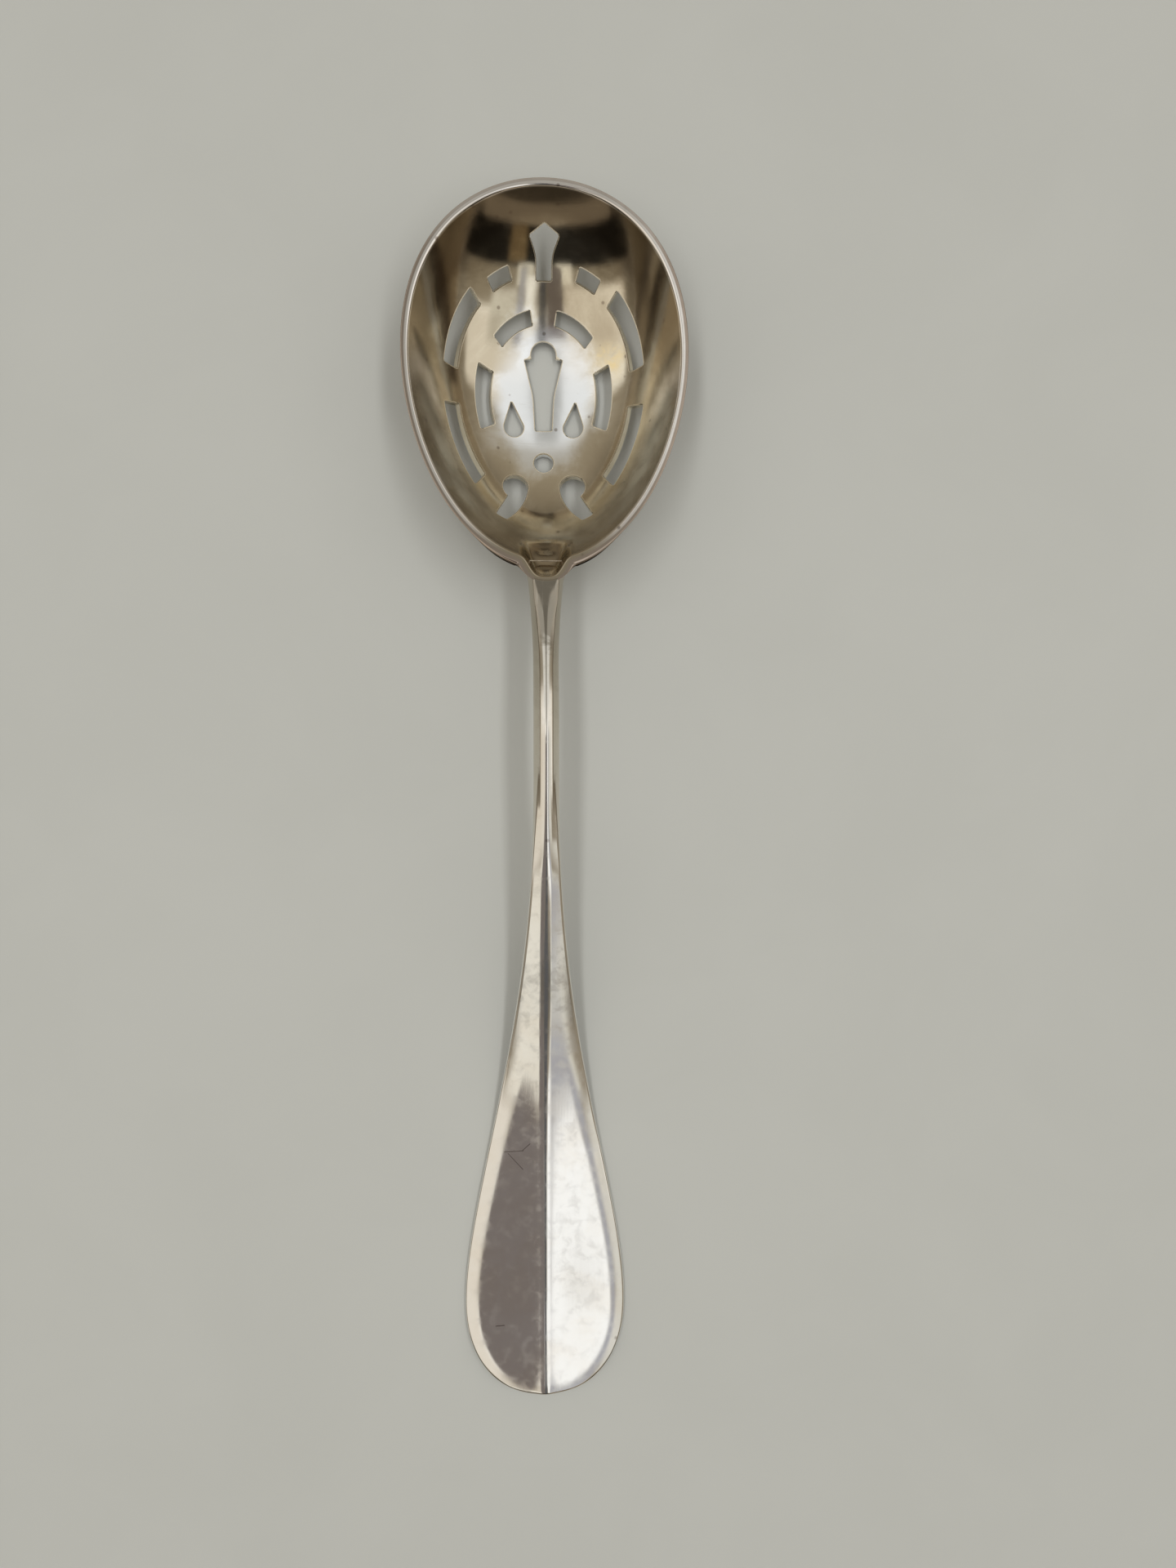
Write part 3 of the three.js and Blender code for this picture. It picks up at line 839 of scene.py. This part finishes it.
def axes(tree, place):
    return add(tree, "ShaderNodeSeparateXYZ", {0: place}).outputs


# a group of nodes; the labels of its sockets are given as words
def newGroup(name, vectors, numbers, results):
    group = bpy.data.node_groups.new(name, "ShaderNodeTree")
    inputs = (vectors, "INPUT", "Vector"), (numbers, "INPUT", "Float")
    for labels, way, kind in (*inputs, (results, "OUTPUT", "Float")):
        for label in labels.split():
            group.interface.new_socket(label, in_out=way, socket_type="NodeSocket" + kind)
    given, wanted = group.nodes.new("NodeGroupInput"), group.nodes.new("NodeGroupOutput")
    return group, given.outputs, wanted.inputs


def useGroup(tree, group, feeds):
    node = tree.nodes.new("ShaderNodeGroup")
    node.node_tree = group
    feed(tree, node, feeds)
    return node.outputs


# cloudy patches where the silver has toned
def makeTarnishCloud():
    group, given, wanted = newGroup("tarnishCloud", "Place", "Scale Low High", "Mask")
    feeds = {"Vector": given["Place"], "Scale": given["Scale"]}
    feeds |= {"Detail": 7, "Roughness": 0.6, "Distortion": 0.4}
    noise = add(group, "ShaderNodeTexNoise", feeds)
    mask = ramp(group, noise.outputs["Fac"], given["Low"], given["High"])
    group.links.new(mask, wanted["Mask"])
    return group


# hair-fine wear lines, long in the direction where the stretch is small
def makeFineScratches():
    group, given, wanted = newGroup("fineScratches", "Place Stretch", "", "Height Lines")
    place = vector(group, "MULTIPLY", given["Place"], given["Stretch"])
    feeds = {"Vector": place, "Scale": 1.0, "Detail": 4, "Roughness": 0.65}
    height = add(group, "ShaderNodeTexNoise", feeds).outputs["Fac"]
    lines = ramp(group, height, 0.6, 0.72)  # only the crests show as lines
    group.links.new(height, wanted["Height"])
    group.links.new(lines, wanted["Lines"])
    return group


# small dark pits, only some of the cells hold one
def makePitSpecks():
    group, given, wanted = newGroup("pitSpecks", "Place", "Scale Size Share", "Mask")
    cells = add(group, "ShaderNodeTexVoronoi", {"Vector": given["Place"], "Scale": given["Scale"]})
    split = add(group, "ShaderNodeSeparateColor", {"Color": cells.outputs["Color"]})
    chosen = calc(group, "LESS_THAN", split.outputs["Red"], given["Share"])
    core = times(group, given["Size"], 0.4)  # fully dark inside this
    near = ramp(group, cells.outputs["Distance"], given["Size"], core)
    group.links.new(times(group, near, chosen), wanted["Mask"])
    return group


# one scratch from a start to an end, seen from above
def makeScratchMark():
    group, given, wanted = newGroup("scratchMark", "Place Start End", "Width", "Mask")
    plan = vector(group, "MULTIPLY", given["Place"], (1, 1, 0))
    away = vector(group, "SUBTRACT", plan, given["Start"])
    along = vector(group, "SUBTRACT", given["End"], given["Start"])
    reached = measure(group, "DOT_PRODUCT", away, along)
    whole = measure(group, "DOT_PRODUCT", along, along)
    share = calc(group, "DIVIDE", reached, whole)
    share = add(group, "ShaderNodeClamp", {"Value": share}).outputs[0]
    feeds = {0: along, "Scale": share}
    nearest = add(group, "ShaderNodeVectorMath", feeds, operation="SCALE").outputs[0]
    gap = measure(group, "DISTANCE", away, nearest)
    core = times(group, given["Width"], 0.3)  # fully dark inside this
    group.links.new(ramp(group, gap, given["Width"], core), wanted["Mask"])
    return group


tarnishCloud = makeTarnishCloud()
fineScratches = makeFineScratches()
pitSpecks = makePitSpecks()
scratchMark = makeScratchMark()


# tones laid over a colour, one after the other, each through its mask
def coat(tree, colour, finish, tones):
    for tone, mask in tones.items():
        colour = blend(tree, mask, colour, finish[tone])
    return colour


# how far a point belongs to a marked part of the mesh
def marked(tree, label, span):
    mark = add(tree, "ShaderNodeAttribute", attribute_name=label)
    return ramp(tree, mark.outputs["Fac"], *span)


def newMaterial(name):
    material = bpy.data.materials.new(name)
    material.use_nodes = True
    tree = material.node_tree
    place = add(tree, "ShaderNodeTexCoord").outputs["Object"]
    return material, tree, tree.nodes["Principled BSDF"], place


def inMetres(values):
    return [value * mm for value in values]


# waves of the hand-finished face and fine wear lines, one bump after the other
def wornNormal(tree, shader, place, finish):
    feeds = {"Vector": place, "Scale": finish["waveScale"], "Detail": 2}
    waves = add(tree, "ShaderNodeTexNoise", feeds).outputs["Fac"]
    feeds = {"Height": waves, "Distance": finish["waveHeight"] * mm, "Strength": 1.0}
    wave = add(tree, "ShaderNodeBump", feeds).outputs[0]
    lines = useGroup(tree, fineScratches, {"Place": place, "Stretch": finish["lineStretch"]})
    feeds = {"Height": lines["Height"], "Distance": finish["lineDepth"] * mm, "Strength": 1.0}
    line = add(tree, "ShaderNodeBump", feeds | {"Normal": wave}).outputs[0]
    tree.links.new(line, shader.inputs["Normal"])
    return lines["Lines"]


def cloudMask(tree, place, cloud):
    return useGroup(tree, tarnishCloud, {"Place": place, **cloud})["Mask"]


def pitMask(tree, place, pits):
    return useGroup(tree, pitSpecks, {"Place": place, **pits})["Mask"]


def finishMetal(tree, shader, colour, rough):
    tree.links.new(colour, shader.inputs["Base Color"])
    tree.links.new(rough, shader.inputs["Roughness"])
    shader.inputs["Metallic"].default_value = 1


# spans are in mm, or in shares of the way to the rim
bowlFinish = {
    "silver": (0.84, 0.85, 0.85),
    "khaki": (0.75, 0.69, 0.56),
    "brown": (0.5, 0.435, 0.325),
    "rimBrown": (0.4, 0.34, 0.25),
    # painted dark reflection: a deep brown laid high on the toe wall, where the room mirrors dark
    "toeDarkReflection": (0.27, 0.225, 0.165),
    "rimTop": (0.8, 0.76, 0.71), "rimEdge": (0.4, 0.33, 0.27),
    "toeEdge": (0.64, 0.58, 0.52), "toeEdgeSpan": (86.0, 96.0),
    # painted highlight: a bright gold glint laid on the upper edges of the piercings
    "cutEdgeGlint": (0.95, 0.87, 0.7),
    "stain": (0.8, 0.64, 0.34),
    "pit": (0.2, 0.15, 0.11),
    "cleanSpan": (0.55, 0.3),
    "rimSpan": (0.72, 1.0),
    "toeWall": (0.85, 0.93), "toeSpan": (66.0, 82.0),
    "topSpan": (15.5, 15.8),
    "heelSpan": (40.0, 47.0),
    "stainAt": (10.9, 75.6), "stainReach": 4.5,
    "polished": 0.08,
    "brushed": 0.14,
    "wallRough": 0.13, "wallSpan": (0.62, 0.8),
    "cutRough": 0.4, "cutSpan": (0.85, 1.0),
    "outerSpan": (0.3, 0.6),
    "broadCloud": {"Scale": 90, "Low": 0.35, "High": 0.65},
    "smallCloud": {"Scale": 420, "Low": 0.3, "High": 0.75},
    "pits": {"Scale": 520, "Size": 0.22, "Share": 0.18},
    "ragged": 0.16,
    "brownShare": 0.7,
    "pitShare": 0.6,
    "lineShare": 0.14,
    "cloudRough": 0.05,
    "waveScale": 110, "waveHeight": 0.05,
    "lineStretch": (160, 2600, 900), "lineDepth": 0.002,
}


def bowlMaterial():
    finish = bowlFinish
    material, tree, shader, place = newMaterial("tonedSilver")
    spot = axes(tree, place)

    def along(key):
        return ramp(tree, spot["Y"], *inMetres(finish[key]))

    scale = (1 / (halfWidth * mm), 1 / (halfLength * mm), 0)
    feeds = {"Vector": place, "Location": (0, -bowlMiddle * mm * scale[1], 0), "Scale": scale}
    shares = add(tree, "ShaderNodeMapping", feeds).outputs[0]
    share = measure(tree, "LENGTH", shares)
    broad = cloudMask(tree, place, finish["broadCloud"])
    small = cloudMask(tree, place, finish["smallCloud"])
    wander = times(tree, calc(tree, "SUBTRACT", broad, 0.5), finish["ragged"])
    ragged = calc(tree, "ADD", share, wander)

    # tones from the bottom to the rim; the deep band high on the toe wall is a painted dark
    # reflection of the room
    clean = ramp(tree, ragged, *finish["cleanSpan"])
    toned = blend(tree, times(tree, broad, finish["brownShare"]), finish["khaki"], finish["brown"])
    toward = along("toeSpan")
    high = ramp(tree, spot["Z"], *inMetres(finish["topSpan"]))
    toned = coat(tree, toned, finish, {
        "rimBrown": ramp(tree, ragged, *finish["rimSpan"]),
        # painted dark reflection high on the toe wall
        "toeDarkReflection": times(tree, toward, ramp(tree, share, *finish["toeWall"])),
        "rimTop": times(tree, high, along("heelSpan")),
    })
    edge = blend(tree, along("toeEdgeSpan"), finish["rimEdge"], finish["toeEdge"])
    toned = blend(tree, marked(tree, "outerRim", finish["outerSpan"]), toned, edge)

    # the clean bottom, stain, pits, wear lines and a painted gold glint on the upper edges of the
    # piercings
    stainAt = (*inMetres(finish["stainAt"]), 0)
    plan = vector(tree, "MULTIPLY", place, (1, 1, 0))
    gap = measure(tree, "DISTANCE", plan, stainAt)
    edges = marked(tree, "cutEdgeGlint", finish["cutSpan"])
    colour = coat(tree, toned, finish, {
        "silver": clean,
        "stain": times(tree, ramp(tree, gap, finish["stainReach"] * mm, 0.0), small),
        "pit": times(tree, pitMask(tree, place, finish["pits"]), finish["pitShare"]),
        "brown": times(tree, wornNormal(tree, shader, place, finish), finish["lineShare"]),
        # painted glint on the upper edges of the piercings
        "cutEdgeGlint": edges,
    })

    rough = ramp(tree, clean, 0.0, 1.0, finish["polished"], finish["brushed"])
    extra = finish["wallRough"] - finish["polished"]
    walls = ramp(tree, share, *finish["wallSpan"], 0.0, extra)
    sides = calc(tree, "SUBTRACT", 1.0, calc(tree, "MAXIMUM", high, toward))
    rough = calc(tree, "ADD", rough, times(tree, walls, sides))
    rough = calc(tree, "ADD", rough, times(tree, small, finish["cloudRough"]))
    rough = calc(tree, "MAXIMUM", rough, times(tree, edges, finish["cutRough"]))
    finishMetal(tree, shader, colour, rough)
    return material


# each scratch: start, end and width in mm, seen from above
handleFinish = {
    "silver": (0.88, 0.87, 0.84),
    "warm": (0.82, 0.77, 0.69),
    "neck": (0.66, 0.61, 0.52),
    "root": (0.46, 0.42, 0.35), "rootSpan": (10.0, 28.0),
    # painted dark reflection: the crown tone darkens the level top of the neck by the lip
    "crown": (0.3, 0.27, 0.22), "crownReflectionSpan": (23.5, 27.0),
    "levelSpan": (0.8, 0.92),
    "scratch": (0.3, 0.25, 0.22),
    "neckSpan": (-28.0, 20.0),
    "crestSpan": (1.0, 0.5), "crestWear": 0.5,
    "marks": [
        ((-6.9, -58.9), (-3.7, -58.7), 0.11),
        ((-3.9, -58.7), (-2.6, -57.5), 0.1),
        ((-6.3, -59.2), (-3.8, -61.9), 0.09),
        ((-8.4, -88.7), (-7.0, -88.6), 0.12),
    ],
    "polished": 0.07,
    "worn": 0.16,
    "broadCloud": {"Scale": 70, "Low": 0.4, "High": 0.7},
    "smallCloud": {"Scale": 500, "Low": 0.35, "High": 0.75},
    "pits": {"Scale": 330, "Size": 0.16, "Share": 0.1},
    "warmShare": 0.6,
    "wander": 4.0,
    "pitShare": 0.7,
    "lineShare": 0.12,
    "scratchShare": 0.75,
    "waveScale": 90, "waveHeight": 0.03,
    "lineStretch": (2400, 140, 900), "lineDepth": 0.0012,
}


def handleMaterial():
    finish = handleFinish
    material, tree, shader, place = newMaterial("polishedSilver")
    spot = axes(tree, place)
    broad = cloudMask(tree, place, finish["broadCloud"])
    small = cloudMask(tree, place, finish["smallCloud"])
    wander = times(tree, calc(tree, "SUBTRACT", small, 0.5), finish["wander"] * mm)
    ragged = calc(tree, "ADD", spot["Y"], wander)

    def along(key):
        return ramp(tree, ragged, *inMetres(finish[key]))

    # darker toward the neck and darkest at the root, worn brighter along the rib; the level top of
    # the neck by the lip gets a painted dark reflection
    colour = blend(tree, times(tree, broad, finish["warmShare"]), finish["silver"], finish["warm"])
    aside = calc(tree, "ABSOLUTE", spot["X"])
    worn = ramp(tree, aside, *inMetres(finish["crestSpan"]))
    kept = calc(tree, "SUBTRACT", 1.0, times(tree, worn, finish["crestWear"]))
    facing = axes(tree, add(tree, "ShaderNodeNewGeometry").outputs["Normal"])
    level = ramp(tree, facing["Z"], *finish["levelSpan"])

    # pits and scratches
    dark = times(tree, pitMask(tree, place, finish["pits"]), finish["pitShare"])
    for start, end, width in finish["marks"]:
        feeds = {"Place": place, "Width": width * mm}
        feeds |= {"Start": (*inMetres(start), 0), "End": (*inMetres(end), 0)}
        dark = calc(tree, "MAXIMUM", dark, useGroup(tree, scratchMark, feeds)["Mask"])
    colour = coat(tree, colour, finish, {
        "neck": times(tree, along("neckSpan"), kept),
        "root": times(tree, along("rootSpan"), kept),
        # painted dark reflection on the upward-facing top of the neck
        "crown": times(tree, along("crownReflectionSpan"), level),
        "warm": times(tree, wornNormal(tree, shader, place, finish), finish["lineShare"]),
        "scratch": times(tree, dark, finish["scratchShare"]),
    })
    rough = ramp(tree, small, 0.0, 1.0, finish["polished"], finish["worn"])
    finishMetal(tree, shader, colour, rough)
    return material


solderFinish = {
    "fresh": (0.62, 0.55, 0.45),
    "dull": (0.42, 0.36, 0.29),
    "smoothest": 0.2,
    "roughest": 0.4,
    "cloud": {"Scale": 700, "Low": 0.3, "High": 0.7},
    "waveScale": 900, "waveHeight": 0.02,
    "lineStretch": (1500, 1500, 1500), "lineDepth": 0.002,
}


def solderMaterial():
    finish = solderFinish
    material, tree, shader, place = newMaterial("dullSolder")
    cloud = cloudMask(tree, place, finish["cloud"])
    wornNormal(tree, shader, place, finish)
    rough = ramp(tree, cloud, 0.0, 1.0, finish["smoothest"], finish["roughest"])
    finishMetal(tree, shader, blend(tree, cloud, finish["fresh"], finish["dull"]), rough)
    return material


bowlPiece.data.materials.append(bowlMaterial())
handlePiece.data.materials.append(handleMaterial())
solderPiece.data.materials.append(solderMaterial())
print("finishes made")

# The floor, the camera of the photograph and the soft room light
floor = {
    "size": 6.0,
    "pale": (0.43, 0.436, 0.41),
    "shade": (0.418, 0.424, 0.398),
    "cloud": {"Scale": 25, "Low": 0.3, "High": 0.7},
    "rough": 0.5,
}


def makeFloor():
    size = floor["size"]
    mesh = bpy.data.meshes.new("tableTop")
    corners = [(-size, -size, 0), (size, -size, 0), (size, size, 0), (-size, size, 0)]
    mesh.from_pydata(corners, [], [(0, 1, 2, 3)])
    top = linked("tableTop", mesh)
    material, tree, shader, place = newMaterial("paleTable")
    cloud = cloudMask(tree, place, floor["cloud"])
    tree.links.new(blend(tree, cloud, floor["pale"], floor["shade"]), shader.inputs["Base Color"])
    shader.inputs["Roughness"].default_value = floor["rough"]
    mesh.materials.append(material)


photoCamera = {
    "place": (-4.7, 5.42, 197.28),
    "turn": (-0.42, -3.57, -0.1),
    "focalPixels": 1400,
    "imageHeight": 1920,
    "sensor": 36.0,
}


def makeCamera():
    data = bpy.data.cameras.new("photoCamera")
    data.sensor_fit = "AUTO"
    data.sensor_width = photoCamera["sensor"]
    data.lens = photoCamera["sensor"] * photoCamera["focalPixels"] / photoCamera["imageHeight"]
    camera = linked("photoCamera", data)
    camera.location = inMetres(photoCamera["place"])
    camera.rotation_euler = [math.radians(angle) for angle in photoCamera["turn"]]
    bpy.context.scene.camera = camera


# The room as the metal sees it. A direction is given by its plane coordinates about the zenith:
# 0 is straight up, 1 is the horizon, across toward +X and along toward +Y.
room = {
    "rings": [
        (0.0, (0.44, 0.41, 0.36)),
        (0.45, (0.45, 0.41, 0.34)),
        (0.62, (0.36, 0.32, 0.26)),
        (0.8, (0.25, 0.22, 0.175)),
        (0.97, (0.17, 0.145, 0.11)),
    ],
    # limits across and along, soft edge, colour; later patches cover earlier ones
    "patches": {
        "nearWall": ((-0.7, 0.7), (-0.44, -0.2), 0.05, (0.3, 0.26, 0.2)),
        "darkSides": ((-1.3, 1.3), (-0.95, -0.55), 0.12, (0.11, 0.093, 0.07)),
        "darkFlag": ((-0.78, 0.78), (-0.7, -0.42), 0.03, (0.022, 0.02, 0.017)),
        "warmBand": ((0.16, 0.3), (-0.71, -0.45), 0.03, (0.2, 0.145, 0.08)),
        "lowBand": ((-0.6, 0.6), (-0.84, -0.7), 0.03, (0.42, 0.36, 0.28)),
        "nearFloor": ((-0.7, 0.7), (-1.05, -0.86), 0.03, (0.1, 0.085, 0.065)),
        "ceilingLight": ((-0.66, 0.64), (-0.17, 0.2), 0.035, (1.02, 0.99, 0.94)),
        "middleLight": ((-0.26, 0.26), (0.1, 0.29), 0.04, (0.9, 0.9, 0.88)),
        "leftLamp": ((-0.2, -0.075), (-0.44, -0.3), 0.02, (0.85, 0.81, 0.72)),
        "rightLamp": ((0.09, 0.21), (-0.44, -0.3), 0.02, (0.75, 0.73, 0.66)),
        "creamPanel": ((-0.7, -0.12), (-0.3, 0.0), 0.04, (0.82, 0.76, 0.67)),
        "rightPanel": ((0.19, 0.4), (-0.28, 0.0), 0.04, (0.72, 0.7, 0.64)),
        "whitePanel": ((0.065, 0.135), (-0.36, 0.06), 0.022, (1.06, 1.06, 1.05)),
        "greyPanel": ((0.135, 0.185), (-0.42, 0.0), 0.02, (0.42, 0.42, 0.45)),
        "mauveFlag": ((-0.115, -0.01), (-0.42, -0.02), 0.01, (0.19, 0.165, 0.155)),
        "darkStrip": ((-0.005, 0.045), (-0.44, 0.02), 0.01, (0.1, 0.1, 0.105)),
        "ridgeStrip": ((-0.07, 0.06), (0.02, 0.27), 0.015, (0.42, 0.41, 0.38)),
    },
    "backdrop": (0.42, 0.425, 0.4),
    "strength": 1.0,
    "lowest": 0.05,
}


# 1 between two values, fading over the edge at both
def between(tree, value, limits, edge):
    rise = ramp(tree, value, limits[0] - edge, limits[0] + edge)
    fall = ramp(tree, value, limits[1] - edge, limits[1] + edge)
    return calc(tree, "SUBTRACT", rise, fall)


def makeRoom():
    world = bpy.data.worlds.new("softRoom")
    bpy.context.scene.world = world
    world.use_nodes = True
    tree = world.node_tree
    tree.nodes.clear()
    toward = axes(tree, add(tree, "ShaderNodeTexCoord").outputs["Generated"])
    lift = calc(tree, "MAXIMUM", calc(tree, "ADD", toward["Z"], 1.0), room["lowest"])
    across = calc(tree, "DIVIDE", toward["X"], lift)
    along = calc(tree, "DIVIDE", toward["Y"], lift)
    squares = calc(tree, "ADD", times(tree, across, across), times(tree, along, along))
    rings = add(tree, "ShaderNodeValToRGB", {0: calc(tree, "SQRT", squares)})
    elements = rings.color_ramp.elements
    while len(elements) < len(room["rings"]):
        elements.new(0.5)
    for element, (at, colour) in zip(elements, room["rings"]):
        element.position = at
        element.color = (*colour, 1)
    light = rings.outputs[0]
    for wide, long, edge, colour in room["patches"].values():
        inside = times(tree, between(tree, across, wide, edge), between(tree, along, long, edge))
        light = blend(tree, inside, light, colour)
    seen = add(tree, "ShaderNodeLightPath").outputs["Is Camera Ray"]
    light = blend(tree, seen, light, room["backdrop"])
    background = add(tree, "ShaderNodeBackground", {"Color": light, "Strength": room["strength"]})
    add(tree, "ShaderNodeOutputWorld", {"Surface": background.outputs[0]})


lamps = {"aside": 0.32, "height": 1.1, "size": (0.12, 1.2), "power": 4.3}


# two long soft boxes light the table through the piercings; the metal mirrors the room instead
def makeLamps():
    for side, name in ((-1, "leftPanel"), (1, "rightPanel")):
        data = bpy.data.lights.new(name, "AREA")
        data.shape = "RECTANGLE"
        data.size, data.size_y = lamps["size"]
        data.energy = lamps["power"]
        lamp = linked(name, data)
        lamp.location = (side * lamps["aside"], 0, lamps["height"])
        lamp.rotation_euler = (0, side * math.atan2(lamps["aside"], lamps["height"]), 0)
        lamp.visible_glossy = False
        lamp.visible_camera = False


makeFloor()
makeCamera()
makeRoom()
makeLamps()
bpy.context.scene.view_settings.view_transform = "Standard"
print("floor, camera and room light made")
